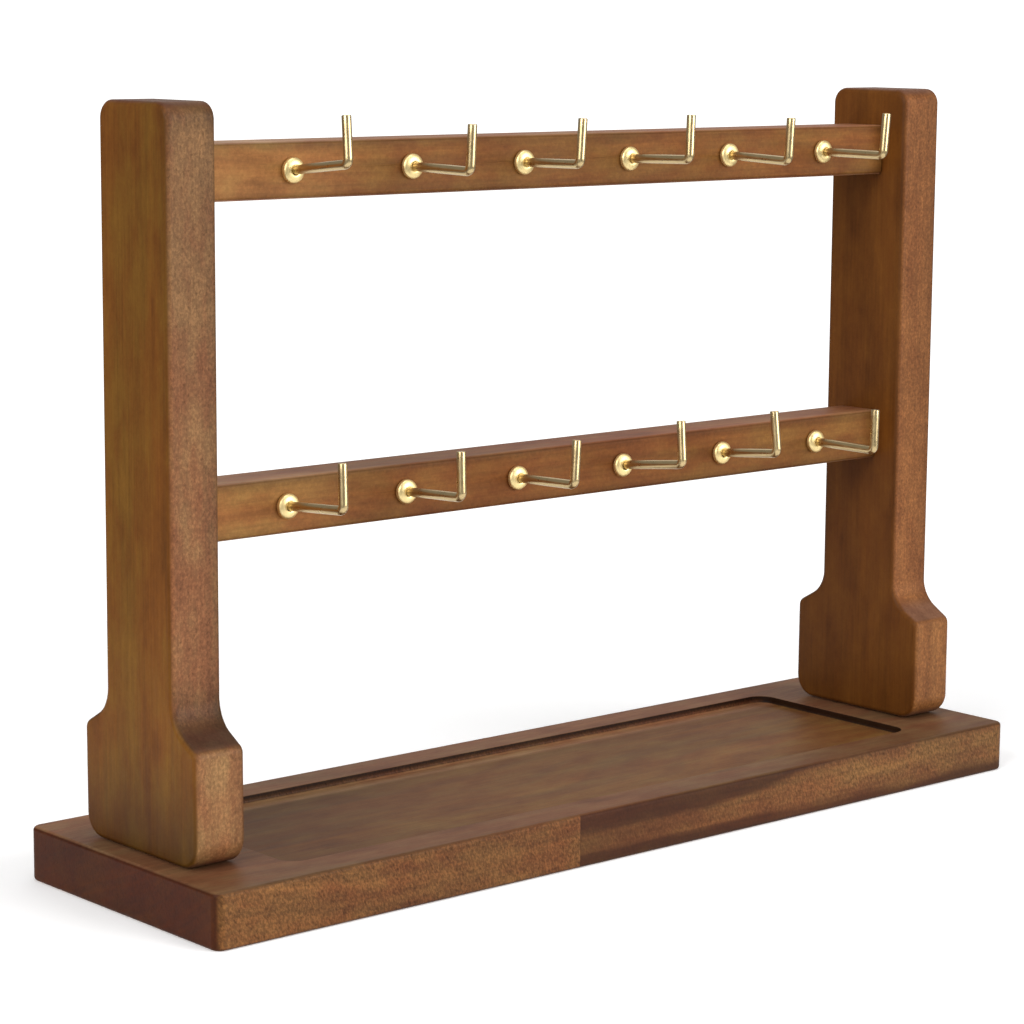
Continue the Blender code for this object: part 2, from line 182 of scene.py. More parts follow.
# ---- Camera and studio ----
CAMERA_PLACE = (-0.69189, -0.774, 0.27676)
CAMERA_AZIMUTH = 40.994         # degrees from +Y towards +X
CAMERA_DOWN = 9.233
CAMERA_ROLL = 0.408
CAMERA_LENS = 108.51
CAMERA_SENSOR = 36
WORLD_BRIGHT = 1.25
WORLD_DIM = 0.3
FLOOR_RADIUS = 0.4
FLOOR_ROUGHNESS = 0.9
FLOOR_SPECULAR = 0.1
FLOOR_GLOW = 0.16
LIGHT_TARGET = (0, 0, 0.12)
# name: (azimuth from -Y towards +X, elevation, distance, size, power)
LIGHTS = {
    "front_softbox": (26, 14, 2.4, 1.6, 50),
    "left_fill": (-75, 25, 2.6, 1.6, 50),
    "overhead_softbox": (10, 75, 2.4, 1.6, 20),
    "back_softbox": (139, 32, 2.4, 1.4, 4.5),
}


# ---- Outlines ----
def arc(centre, radius, start, end, steps):
    points = []
    for step in range(steps + 1):
        angle = math.radians(start + (end - start) * step / steps)
        x = centre[0] + radius * math.cos(angle)
        y = centre[1] + radius * math.sin(angle)
        points.append((x, y))
    return points


def rounded_rectangle(length, width, radius, steps=CORNER_STEPS):
    x = length / 2 - radius
    y = width / 2 - radius
    outline = arc((x, y), radius, 0, 90, steps)
    outline += arc((-x, y), radius, 90, 180, steps)
    outline += arc((-x, -y), radius, 180, 270, steps)
    outline += arc((x, -y), radius, 270, 360, steps)
    return outline


def upright_outline(foot_depth, height):
    """Side view of an upright, with (0, 0) under the middle of its foot."""
    foot = foot_depth / 2
    post = POST_DEPTH / 2
    turn = math.radians(FOOT_SHOULDER_TURN)
    shoulder_x = post + FOOT_SHOULDER_RADIUS * (1 - math.cos(turn))
    shoulder_drop = FOOT_SHOULDER_RADIUS * math.sin(turn)
    nose_x = foot - FOOT_NOSE_RADIUS * (1 - math.cos(turn))
    slope_drop = (nose_x - shoulder_x) / math.tan(turn)
    nose_drop = shoulder_drop + slope_drop + FOOT_NOSE_RADIUS * math.sin(turn)

    side = arc((foot - FOOT_HEEL_RADIUS, FOOT_HEEL_RADIUS), FOOT_HEEL_RADIUS, -90, 0, HEEL_STEPS)
    side += arc((foot - FOOT_NOSE_RADIUS, FOOT_SHOULDER_HEIGHT - nose_drop), FOOT_NOSE_RADIUS,
                0, FOOT_SHOULDER_TURN, NOSE_STEPS)
    side += arc((post + FOOT_SHOULDER_RADIUS, FOOT_SHOULDER_HEIGHT), FOOT_SHOULDER_RADIUS,
                180 + FOOT_SHOULDER_TURN, 180, SHOULDER_STEPS)
    side += arc((post - POST_TOP_RADIUS, height - POST_TOP_RADIUS), POST_TOP_RADIUS,
                0, 90, TOP_STEPS)
    return side + [(-x, z) for x, z in reversed(side)]


# ---- Mesh builders ----
def finish_mesh(name, shape):
    bmesh.ops.recalc_face_normals(shape, faces=shape.faces)
    mesh = bpy.data.meshes.new(name)
    shape.to_mesh(mesh)
    shape.free()
    mesh.shade_smooth()
    mesh.set_sharp_from_angle(angle=math.radians(SHARP_ANGLE))
    return mesh


def inset_outline(outline, inset):
    """Every point moved inwards, square to the outline, by its own inset."""
    count = len(outline)
    moved = []
    for i, here in enumerate(outline):
        before = Vector(outline[i - 1])
        after = Vector(outline[(i + 1) % count])
        here = Vector(here)
        into = (here - before).normalized()
        out = (after - here).normalized()
        normal = Vector((-into.y - out.y, into.x + out.x)).normalized()
        reach = max(MITRE_LIMIT, normal.dot(Vector((-into.y, into.x))))
        moved.append(here + normal * inset[i] / reach)
    return moved


def loft(name, outline, profile, place, wobble=0.0):
    """A solid whose outline shrinks by each (inset, height) of the profile, from the bottom up.

    wobble varies the inset round the outline by that share, as hand sanding does to an edge."""
    shape = bmesh.new()
    rings = []
    for inset, height in profile:
        insets = []
        for x, y in outline:
            spot = place @ Vector((x, y, height))
            insets.append(inset * (1 + wobble * noise.noise(spot * WOBBLE_SCALE)))
        ring = inset_outline(outline, insets)
        rings.append([shape.verts.new(place @ Vector((p.x, p.y, height))) for p in ring])
    for low, high in zip(rings, rings[1:]):
        for i in range(len(outline)):
            j = (i + 1) % len(outline)
            shape.faces.new((low[i], low[j], high[j], high[i]))
    shape.faces.new(list(reversed(rings[0])))
    shape.faces.new(rings[-1])
    return finish_mesh(name, shape)


def rounded_profile(low, high, radius, steps=6):
    """(inset, height) pairs of a board with both edges rounded."""
    pairs = []
    for step in range(steps + 1):
        angle = math.pi / 2 * step / steps
        pairs.append((radius * (1 - math.sin(angle)), radius * (1 - math.cos(angle))))
    bottom = [(inset, low + rise) for inset, rise in pairs]
    top = [(inset, high - rise) for inset, rise in reversed(pairs)]
    return bottom + top


def turned(name, profile, sides, place, ring=False):
    """A (radius, height) profile turned about Z; a ring's profile closes on itself."""
    shape = bmesh.new()
    columns = []
    for side in range(sides):
        angle = 2 * math.pi * side / sides
        column = []
        for radius, height in profile:
            if radius == 0:
                column.append(None)
                continue
            spot = Vector((radius * math.cos(angle), radius * math.sin(angle), height))
            column.append(shape.verts.new(place @ spot))
        columns.append(column)
    poles = {i: shape.verts.new(place @ Vector((0, 0, height)))
             for i, (radius, height) in enumerate(profile) if radius == 0}
    steps = len(profile) if ring else len(profile) - 1
    for side in range(sides):
        here = columns[side]
        there = columns[(side + 1) % sides]
        for i in range(steps):
            j = (i + 1) % len(profile)
            corners = [here[i] or poles[i], here[j] or poles[j],
                       there[j] or poles[j], there[i] or poles[i]]
            unique = list(dict.fromkeys(corners))
            if len(unique) > 2:
                shape.faces.new(unique)
    return finish_mesh(name, shape)


def sweep(name, stations, sides, place):
    """A rod along a path in the YZ plane.

    A station is (y, z, direction, radius): direction is the path's angle in that plane, and radius
    is a function of the angle round the rod, so that it can carry a thread."""
    shape = bmesh.new()
    rings = []
    for y, z, direction, radius in stations:
        across = Vector((0, -math.sin(direction), math.cos(direction)))
        ring = []
        for side in range(sides):
            angle = 2 * math.pi * side / sides
            reach = radius(angle)
            spot = Vector((reach * math.cos(angle), y, z)) + across * reach * math.sin(angle)
            ring.append(shape.verts.new(place @ spot))
        rings.append(ring)
    for low, high in zip(rings, rings[1:]):
        for i in range(sides):
            j = (i + 1) % sides
            shape.faces.new((low[i], low[j], high[j], high[i]))
    shape.faces.new(rings[0])
    cap = shape.faces.new(list(reversed(rings[-1])))
    cap.material_index = 1
    return finish_mesh(name, shape)


def add_object(name, mesh, *materials):
    obj = bpy.data.objects.new(name, mesh)
    bpy.context.scene.collection.objects.link(obj)
    for material in materials:
        obj.data.materials.append(material)
    return obj


def show(piece, node):
    """A finished piece that stands for one CAD node."""
    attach(piece, BODY)
    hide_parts(node)


def subtract(piece, cutter_mesh):
    """Cut a mesh out of the piece and keep the result as the piece's own mesh."""
    cutter = add_object("cutter", cutter_mesh)
    boolean = piece.modifiers.new("cut", "BOOLEAN")
    boolean.solver = "EXACT"
    boolean.object = cutter
    evaluated = piece.evaluated_get(bpy.context.evaluated_depsgraph_get())
    mesh = bpy.data.meshes.new_from_object(evaluated)
    piece.modifiers.clear()
    piece.data = mesh
    bpy.data.objects.remove(cutter, do_unlink=True)


def settle_normals(piece):
    weighted = piece.modifiers.new("flat_face_normals", "WEIGHTED_NORMAL")
    weighted.keep_sharp = True
    weighted.weight = 100


# ---- Shader helper ----
class Shader:
    """One material's nodes. Each method adds a node and returns its output socket."""

    def __init__(self, name):
        self.material = bpy.data.materials.new(name)
        self.material.use_nodes = True
        self.nodes = self.material.node_tree.nodes
        self.links = self.material.node_tree.links
        self.surface = self.nodes["Principled BSDF"]

    def feed(self, socket, value):
        if isinstance(value, bpy.types.NodeSocket):
            self.links.new(value, socket)
        elif isinstance(value, (int, float)) or not hasattr(socket.default_value, "__len__"):
            socket.default_value = value
        else:
            count = len(socket.default_value)
            socket.default_value = (*value, 1.0)[:count]

    def set(self, name, value):
        self.feed(self.surface.inputs[name], value)

    def coordinate(self, kind):
        return self.nodes.new("ShaderNodeTexCoord").outputs[kind]

    def math(self, operation, a, b=0.0):
        node = self.nodes.new("ShaderNodeMath")
        node.operation = operation
        self.feed(node.inputs[0], a)
        self.feed(node.inputs[1], b)
        return node.outputs[0]

    def plus(self, a, b):
        return self.math("ADD", a, b)

    def minus(self, a, b):
        return self.math("SUBTRACT", a, b)

    def times(self, a, b):
        return self.math("MULTIPLY", a, b)

    def magnitude(self, a):
        return self.math("ABSOLUTE", a)

    def apart(self, a, b):
        return self.magnitude(self.minus(a, b))

    def vector(self, operation, a, b=(0, 0, 0)):
        node = self.nodes.new("ShaderNodeVectorMath")
        node.operation = operation
        self.feed(node.inputs[0], a)
        self.feed(node.inputs[1], b)
        return node.outputs["Value" if operation == "LENGTH" else "Vector"]

    def tint(self, colour, factors):
        return self.vector("MULTIPLY", colour, factors)

    def split(self, vector):
        node = self.nodes.new("ShaderNodeSeparateXYZ")
        self.feed(node.inputs[0], vector)
        return node.outputs

    def join(self, x, y, z):
        node = self.nodes.new("ShaderNodeCombineXYZ")
        for socket, value in zip(node.inputs, (x, y, z)):
            self.feed(socket, value)
        return node.outputs[0]

    def noise(self, vector, scale, detail=2.0, roughness=0.5):
        node = self.nodes.new("ShaderNodeTexNoise")
        self.feed(node.inputs["Vector"], vector)
        self.feed(node.inputs["Scale"], scale)
        self.feed(node.inputs["Detail"], detail)
        self.feed(node.inputs["Roughness"], roughness)
        return node.outputs["Fac"]

    def step(self, value, start, end, low=0.0, high=1.0):
        """low below start, high above end, and a smooth change between."""
        node = self.nodes.new("ShaderNodeMapRange")
        node.interpolation_type = "SMOOTHSTEP"
        for socket, number in zip(node.inputs, (value, start, end, low, high)):
            self.feed(socket, number)
        return node.outputs[0]

    def mix(self, factor, a, b):
        node = self.nodes.new("ShaderNodeMix")
        node.data_type = "RGBA"
        node.clamp_factor = True
        self.feed(node.inputs[0], factor)
        self.feed(node.inputs[6], a)
        self.feed(node.inputs[7], b)
        return node.outputs[2]

    def scale(self, vector, gain):
        node = self.nodes.new("ShaderNodeVectorMath")
        node.operation = "SCALE"
        self.feed(node.inputs[0], vector)
        self.feed(node.inputs["Scale"], gain)
        return node.outputs["Vector"]

    def bump(self, height, distance, strength=1.0):
        node = self.nodes.new("ShaderNodeBump")
        self.feed(node.inputs["Height"], height)
        self.feed(node.inputs["Distance"], distance)
        self.feed(node.inputs["Strength"], strength)
        self.links.new(node.outputs[0], self.surface.inputs["Normal"])


# ---- Materials ----
def facing(shader):
    """How squarely the surface faces X, Y and Z, 0 to 1, and how far it is rounded over."""
    x, y, z = shader.split(shader.vector("ABSOLUTE", shader.coordinate("Normal")))
    largest = shader.math("MAXIMUM", shader.math("MAXIMUM", x, y), z)
    rounding = shader.step(largest, *ROUNDED_OVER)
    return [shader.step(n, *SQUARE_ON) for n in (x, y, z)], rounding


def by_face(shader, faces, values):
    """The value for the faces square to X, Y and Z, blended over the rounded edges."""
    blended = shader.mix(faces[1], values[0], values[1])
    return shader.mix(faces[2], blended, values[2])


def stretched(shader, vector, scale):
    return shader.tint(vector, scale)


def swing(shader, value, amount):
    """1 plus or minus half the amount, for a value between 0 and 1."""
    return shader.plus(1.0 - amount / 2, shader.times(value, amount))


def edge_band(shader, across, low, high, width):
    """1 at both edges of a face, and 0 from this width inwards."""
    offset = shader.apart(across, (low + high) / 2)
    return shader.step(offset, (high - low) / 2 - width, (high - low) / 2)


def wood(name, along, seed, colours, specks, speck_scale, slant=0.0, darkening=None, adjust=None,
         streaks=0.9, rounding_tone=-0.18, tones=((1.13, 0.96, 0.92), (0.93, 1.04, 0.98))):
    """Stained close-grained hardwood with its grain along X or Z.

    colours and specks are for the faces square to X, Y and Z: the colour, partly the wood's own and
    partly painted light and shade, each face's colour being set to its lit brightness, and how
    strongly the cut ends of rays and vessels stand out there. speck_scale is the specks' number per
    metre, and slant leans their rows. streaks is how far the growth bands change the brightness,
    rounding_tone how far the rounded edges do, darker where it is negative, and tones are the
    warmest and coolest tints that the stained colour drifts between.
    adjust(shader, colour, strength, faces, position) may change the colour and the specks by place,
    painted light and shade among it.
    darkening(shader, faces, position) is the share of the brightness taken away by place: painted
    shade in some places, painted light where it is negative, and elsewhere a darkening along edges
    and near the uprights' tops."""
    shader = Shader(name)
    faces, rounding = facing(shader)
    here = shader.coordinate("Object")
    place = shader.vector("ADD", here, seed)
    x, y, z = shader.split(place)
    g, a, b = (x, y, z) if along == "x" else (z, x, y)
    board = shader.join(g, a, b)

    # The stained colour drifts slowly; growth bands follow the distance from a pith beside the
    # board.
    drift = shader.noise(stretched(shader, board, DRIFT_SCALE), 1.0, 3.0, 0.55)
    sway = shader.noise(stretched(shader, board, SWAY_SCALE), 1.0, 1.0)
    from_pith = shader.vector("ADD", stretched(shader, board, (0, 1, 1)), PITH_OFFSET)
    ring = shader.plus(shader.vector("LENGTH", from_pith), shader.times(sway, RING_SWAY))
    band_place = shader.join(shader.times(ring, BANDS_PER_METRE), shader.times(g, BAND_DRIFT), 0.0)
    bands = shader.noise(band_place, 1.0, 3.0, 0.62)
    fibre = shader.noise(stretched(shader, board, FIBRE_SCALE), 1.0, 2.0, 0.6)
    mottle = shader.noise(stretched(shader, board, MOTTLE_SCALE), 1.0, 3.0, 0.65)

    # Specks: pale ray ends and dark vessel ends.
    leaning = shader.join(shader.plus(x, shader.times(z, slant)), y, z)
    grid = stretched(shader, leaning, speck_scale)
    pale = shader.step(shader.noise(grid, 1.0, 3.0, 0.72), 0.40, 0.68)
    elsewhere = shader.vector("ADD", grid, VESSEL_OFFSET)
    dark = shader.step(shader.noise(elsewhere, 0.9, 1.0, 0.5), 0.50, 0.78)
    strength = shader.split(by_face(shader, faces, [(v, v, v) for v in specks]))[0]

    colour = by_face(shader, faces, colours)
    if adjust:
        colour, strength = adjust(shader, colour, strength, faces, shader.split(here))
    hue = shader.plus(shader.times(drift, 0.45), shader.times(mottle, 0.55))
    colour = shader.tint(colour, shader.mix(shader.step(hue, 0.38, 0.62), *tones))

    gain = swing(shader, bands, streaks)
    gain = shader.times(gain, swing(shader, mottle, MOTTLE_SWING))
    gain = shader.times(gain, swing(shader, fibre, FIBRE_SWING))
    lift = shader.minus(shader.times(pale, PALE_LIFT), shader.times(dark, DARK_DROP))
    lift = shader.minus(lift, SPECK_MEAN)
    gain = shader.times(gain, shader.plus(1.0, shader.times(lift, strength)))
    # Darkening by place: in parts painted shade, and painted light where it is negative.
    if darkening:
        darkened = darkening(shader, faces, shader.split(here))
        gain = shader.times(gain, shader.minus(1.0, darkened))
    gain = shader.times(gain, shader.plus(1.0, shader.times(rounding, rounding_tone)))
    shader.set("Base Color", shader.scale(colour, gain))

    pores = shader.times(dark, strength)
    uneven = shader.times(shader.minus(bands, 0.5), BAND_ROUGHNESS)
    rough = shader.plus(shader.plus(WOOD_ROUGHNESS, uneven), shader.times(pores, PORE_ROUGHNESS))
    shader.set("Roughness", rough)
    shader.set("Specular IOR Level", WOOD_SPECULAR)
    relief = shader.minus(shader.times(fibre, FIBRE_RELIEF), shader.times(pores, PORE_RELIEF))
    shader.bump(relief, WOOD_RELIEF, 0.5)
    return shader.material


def brass(name, colour, roughness, scratches):
    """Lacquered brass: fine drawing lines, and a slightly duller lacquer in patches."""
    shader = Shader(name)
    place = shader.coordinate("Object")
    patches = shader.noise(place, 350, 2.0)
    lines = shader.noise(stretched(shader, place, (2600, 300, 900)), 1.0, 2.0)
    dimmed = tuple(0.90 * c for c in colour)
    bright = tuple(min(1, 1.06 * c) for c in colour)
    shader.set("Base Color", shader.mix(patches, dimmed, bright))
    shader.set("Metallic", 1.0)
    dull = shader.times(shader.minus(patches, 0.5), 0.16)
    fine = shader.times(shader.minus(lines, 0.5), scratches)
    shader.set("Roughness", shader.plus(roughness, shader.plus(dull, fine)))
    shader.bump(lines, METAL_RELIEF, 0.3)
    return shader.material


def steel(name):
    shader = Shader(name)
    patches = shader.noise(shader.coordinate("Object"), 500, 3.0)
    shader.set("Base Color", shader.mix(patches, (0.42, 0.41, 0.40), (0.66, 0.65, 0.64)))
    shader.set("Metallic", 1.0)
    shader.set("Roughness", shader.step(patches, 0.2, 0.8, 0.28, 0.46))
    shader.bump(patches, METAL_RELIEF, 0.4)
    return shader.material


def beech(name):
    """Plain unstained beech for the dowels, grain along X."""
    shader = Shader(name)
    place = shader.coordinate("Object")
    fibre = shader.noise(stretched(shader, place, (40, 1500, 1500)), 1.0, 3.0)
    shader.set("Base Color", shader.mix(fibre, (0.46, 0.29, 0.15), (0.72, 0.53, 0.33)))
    shader.set("Roughness", shader.step(fibre, 0.2, 0.8, 0.78, 0.6))
    shader.bump(fibre, 0.05 * MM, 0.4)
    return shader.material


# ---- How the stain and the colour change by place ----
def two_lengths(shader, colour, strength, faces, position):
    """The base's front edge is two lengths of wood, butted together left of the middle."""
    x, y, z = position
    front = shader.times(faces[1], shader.step(y, 0.0, -10 * MM))
    right = shader.step(x, STAVE_JOINT_X - SEAM_HALF_WIDTH, STAVE_JOINT_X + SEAM_HALF_WIDTH)
    on_right = shader.times(front, right)

    # The left length is paler towards its end.
    left_end = shader.step(x, -60 * MM, -175 * MM)
    paler = shader.times(front, shader.times(left_end, LEFT_END_LIFT))
    colour = shader.scale(colour, shader.plus(1.0, paler))

    # The right length is dark, with a golden speckled band that widens to the right.
    opening = shader.step(x, 20 * MM, 110 * MM)
    middle = shader.plus(8 * MM, shader.times(opening, 3 * MM))
    half = shader.plus(5.0 * MM, shader.times(opening, 4.5 * MM))
    here = shader.coordinate("Object")
    wander = shader.noise(stretched(shader, here, (25, 1, 200)), 1.0, 2.0)
    drifted = shader.plus(z, shader.times(shader.minus(wander, 0.5), 5 * MM))
    offset = shader.apart(drifted, middle)
    band = shader.step(shader.math("DIVIDE", offset, half), 1.0, 0.45)
    golden = shader.times(band, shader.step(x, -40 * MM, 100 * MM, 0.35, 1.0))
    heart = shader.mix(golden, HEARTWOOD_TINT, BAND_TINT)
    colour = shader.tint(colour, shader.mix(on_right, PLAIN, heart))
    speckled = shader.plus(HEARTWOOD_SPECKS, shader.times(golden, 1.0 - HEARTWOOD_SPECKS))
    calmer = shader.plus(1.0, shader.times(on_right, shader.minus(speckled, 1.0)))
    strength = shader.times(strength, calmer)

    seam = shader.step(shader.apart(x, STAVE_JOINT_X), 0.35 * MM, SEAM_HALF_WIDTH)
    darker = shader.times(seam, shader.times(front, SEAM_STAIN))
    return shader.scale(colour, shader.minus(1.0, darker)), strength


def tray_colours(shader, colour, faces, position):
    """The tray is darker than the rim, most of all on its steep walls, whose darkness is painted
    shade; its floor dims towards the left with painted shade too, and a painted highlight lies
    along the back wall's foot.
    """
    x, y, z = position
    half_x, half_y = TRAY_LENGTH / 2, TRAY_WIDTH / 2
    outer, inner = 0.5 * MM, 0.3 * MM
    in_x = shader.step(shader.magnitude(x), half_x + outer, half_x + inner)
    in_y = shader.step(shader.magnitude(y), half_y + outer, half_y + inner)
    inside = shader.times(in_x, in_y)
    inside = shader.times(inside, shader.step(z, BASE_TOP / 3, BASE_TOP / 2))
    sunk = shader.times(inside, shader.step(z, BASE_TOP - 0.4 * MM, BASE_TOP - 1.2 * MM))

    # Painted shade: the floor dims towards the left upright.
    left_shade = shader.step(x, -10 * MM, -120 * MM)
    shaded_left_floor = tuple(TRAY_LEFT_SHADE_SHARE * c for c in TRAY_COLOUR)
    colour = shader.mix(sunk, colour, shader.mix(left_shade, TRAY_COLOUR, shaded_left_floor))

    # Painted shade on the walls: the back wall gets lighter downwards; the end walls stay dark.
    steep = shader.minus(1.0, faces[2])
    fading = shader.step(z, BASE_TOP - 0.5 * MM, BASE_TOP - 2.4 * MM)
    fading = shader.times(fading, faces[1])
    wall_shade = shader.mix(fading, WALL_TOP_SHADE_COLOUR, WALL_FOOT_SHADE_COLOUR)
    colour = shader.mix(shader.times(inside, steep), colour, wall_shade)

    # A painted highlight: a pale strip along the foot of the back wall.
    cove_highlight = shader.step(y, half_y - 8.5 * MM, half_y - 5 * MM)
    cove_highlight = shader.times(shader.times(cove_highlight, sunk), faces[2])
    return shader.mix(cove_highlight, colour, COVE_HIGHLIGHT_COLOUR)


def base_colours(shader, colour, strength, faces, position):
    colour, strength = two_lengths(shader, colour, strength, faces, position)

    # Painted sheen: the top is paler behind the tray than in front of it.
    behind = shader.step(position[1], -TRAY_WIDTH / 2, TRAY_WIDTH / 2)
    rim_sheen = shader.mix(behind, RIM_FRONT_SHEEN_TINT, RIM_BACK_SHEEN_TINT)
    colour = shader.tint(colour, shader.mix(faces[2], PLAIN, rim_sheen))
    return tray_colours(shader, colour, faces, position), strength


def base_edge_darkening(shader, faces, position):
    """Darker along the long edges of the top."""
    darkened = edge_band(shader, position[1], -BASE_HALF_WIDTH, BASE_HALF_WIDTH, 3 * MM)
    return shader.times(shader.times(darkened, faces[2]), TOP_EDGE_DARKENING)


def upright_shade_and_tone(side, foot_shade, shoulder_shade, crown_darkening):
    """Darker along the narrow faces' right edge, along the sides' front edge and at the top;
    painted shade low on the foot's sides and on its shoulder, and a painted highlight on the toe's
    front.

    A negative share makes a place paler."""
    low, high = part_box(f"{side}_upright")

    def darkening(shader, faces, position):
        x, y, z = position
        right = shader.times(shader.step(x, high.x - 9 * MM, high.x), faces[1])
        # Painted shade on the foot's sides, darker towards the bottom.
        foot = shader.times(shader.step(z, 62 * MM, low.z), faces[0])
        # Painted highlight on the toe's front, below the nose.
        toe = shader.times(shader.step(z, low.z + 37 * MM, low.z + 32 * MM), faces[1])
        post = shader.step(y, -POST_DEPTH / 2 + 6 * MM, -POST_DEPTH / 2 + 1 * MM)
        above = shader.step(z, 62 * MM, 72 * MM)
        edge = shader.times(shader.times(post, above), faces[0])
        # Painted shade on the shoulder's slope, darkest just above the nose.
        slope_foot = shader.step(z, low.z + 36 * MM, low.z + 38.5 * MM)
        slope_top = shader.step(z, low.z + 61 * MM, low.z + 42 * MM)
        slope_shade = shader.times(shader.times(slope_foot, slope_top), shader.minus(1.0, faces[0]))
        crown = shader.times(shader.step(z, high.z - 12 * MM, high.z - 3 * MM), faces[1])

        darkness = shader.plus(shader.times(right, RIGHT_EDGE_DARKENING), shader.times(foot, foot_shade))
        darkness = shader.plus(darkness, shader.times(edge, FRONT_EDGE_DARKENING))
        darkness = shader.minus(darkness, shader.times(toe, TOE_HIGHLIGHT_LIFT))
        darkness = shader.plus(darkness, shader.times(slope_shade, shoulder_shade))
        return shader.plus(darkness, shader.times(crown, crown_darkening))
    return darkening


def toe_colour(side):
    """The foot's front is a little more golden than the post above it."""
    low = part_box(f"{side}_upright")[0]

    def adjust(shader, colour, strength, faces, position):
        toe = shader.step(position[2], low.z + 38 * MM, low.z + 34 * MM)
        toe = shader.times(toe, faces[1])
        return shader.tint(colour, shader.mix(toe, PLAIN, TOE_TINT)), strength
    return adjust


def rail_edge_darkening(shader, faces, position):
    """Darker along the long edges of both rails' faces."""
    z = position[2]
    total = None
    for row in ROWS:
        low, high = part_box(f"{row}_rail")
        near = shader.step(shader.apart(z, (low.z + high.z) / 2), 20 * MM, 19 * MM)
        darkened = shader.times(edge_band(shader, z, low.z, high.z, 4.5 * MM), near)
        total = darkened if total is None else shader.plus(total, darkened)
    return shader.times(shader.times(total, faces[1]), RAIL_EDGE_DARKENING)


def rail_ends(shader, colour, strength, faces, position):
    """The rails are paler towards their left ends, most of all the upper one."""
    x, z = position[0], position[2]
    upper = shader.step(z, 150 * MM, 160 * MM)
    middle = shader.mix(upper, LOWER_RAIL_TINT, UPPER_RAIL_TINT)
    middle = shader.mix(shader.step(x, 20 * MM, 110 * MM), middle, PLAIN)
    end = shader.mix(upper, LOWER_RAIL_END_TINT, UPPER_RAIL_END_TINT)
    paler = shader.step(x, -70 * MM, -160 * MM)
    return shader.tint(colour, shader.mix(paler, middle, end)), strength


BASE_HALF_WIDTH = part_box("base_board")[1].y
BASE_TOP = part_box("base_board")[1].z
# Each face's colour here is partly the wood's own and partly painted light and shade: the colours
# were set face by face to each face's lit brightness.
base_wood = wood("base_wood", "x", (3.1, 0.7, 1.9),
                 colours=[(0.048, 0.010, 0.001), (0.112, 0.043, 0.013), (0.158, 0.072, 0.033)],
                 specks=[0.25, 0.9, 0.12], speck_scale=(1200, 1200, 780), slant=0.3,
                 darkening=base_edge_darkening, adjust=base_colours)
left_wood = wood("left_upright_wood", "z", (0.3, 1.7, 0.4),
                 colours=[(0.144, 0.056, 0.008), (0.190, 0.085, 0.036), (0.120, 0.052, 0.028)],
                 specks=[0.12, 0.62, 0.2], speck_scale=(1150, 1150, 900),
                 darkening=upright_shade_and_tone("left", 0.5, 0.52, 0.22), adjust=toe_colour("left"),
                 streaks=0.35, rounding_tone=-0.08)
# The right upright's sides are darker than the left's: painted shade for its inner face, which lies
# in the rack's shade; its outer face takes the same colour.
right_wood = wood("right_upright_wood", "z", (5.3, 2.9, 1.6),
                  colours=[(0.122, 0.042, 0.006), (0.180, 0.070, 0.022), (0.150, 0.070, 0.038)],
                  specks=[0.12, 0.62, 0.2], speck_scale=(1150, 1150, 900),
                  darkening=upright_shade_and_tone("right", 0.12, -0.05, -0.08), adjust=toe_colour("right"),
                  streaks=0.35, rounding_tone=-0.08, tones=((1.09, 0.97, 0.95), (0.99, 0.97, 0.96)))
rail_wood = wood("rail_wood", "x", (7.7, 4.1, 2.2),
                 colours=[(0.100, 0.045, 0.020), (0.178, 0.070, 0.017), (0.250, 0.110, 0.050)],
                 specks=[0.3, 0.25, 0.1], speck_scale=(900, 1000, 1000),
                 darkening=rail_edge_darkening, adjust=rail_ends, streaks=0.85)
hook_brass = brass("hook_brass", (0.60, 0.455, 0.235), roughness=0.30, scratches=0.10)
collar_brass = brass("collar_brass", (0.93, 0.74, 0.36), roughness=0.46, scratches=0.05)
cut_brass = brass("cut_wire_brass", (0.55, 0.46, 0.33), roughness=0.45, scratches=0.20)
screw_steel = steel("screw_steel")
dowel_beech = beech("dowel_beech")


# ---- Holes that the dowels, screws and hook threads sit in ----
def dowel_holes(piece, rows, sides):
    """Round holes along X, a gap larger than each dowel."""
    for row in rows:
        for side in sides:
            for index in (1, 2):
                low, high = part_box(f"{row}_{side}_dowel_{index}")
                middle = (low + high) / 2
                radius = DOWEL_RADIUS + GAP
                half = (high.x - low.x) / 2 + GAP
                profile = [(0, half), (radius, half), (radius, -half), (0, -half)]
                place = Matrix.Translation(middle) @ Matrix.Rotation(math.pi / 2, 4, "Y")
                subtract(piece, turned("dowel_hole", profile, HOLE_SIDES, place))


def screw_holes(piece, sides):
    for side in sides:
        for where in ("front", "back"):
            low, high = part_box(f"base_screw_{side}_{where}")
            middle = (low + high) / 2
            head = (high.x - low.x) / 2 + GAP
            shank = SCREW_RADIUS + GAP
            length = high.z - low.z
            profile = [(0, length + GAP), (shank, length + GAP), (shank, SCREW_HEAD_CONE + GAP),
                       (head, GAP), (head, -low.z - OVERRUN), (0, -low.z - OVERRUN)]
            place = Matrix.Translation((middle.x, middle.y, low.z))
            subtract(piece, turned("screw_hole", profile, HOLE_SIDES, place))


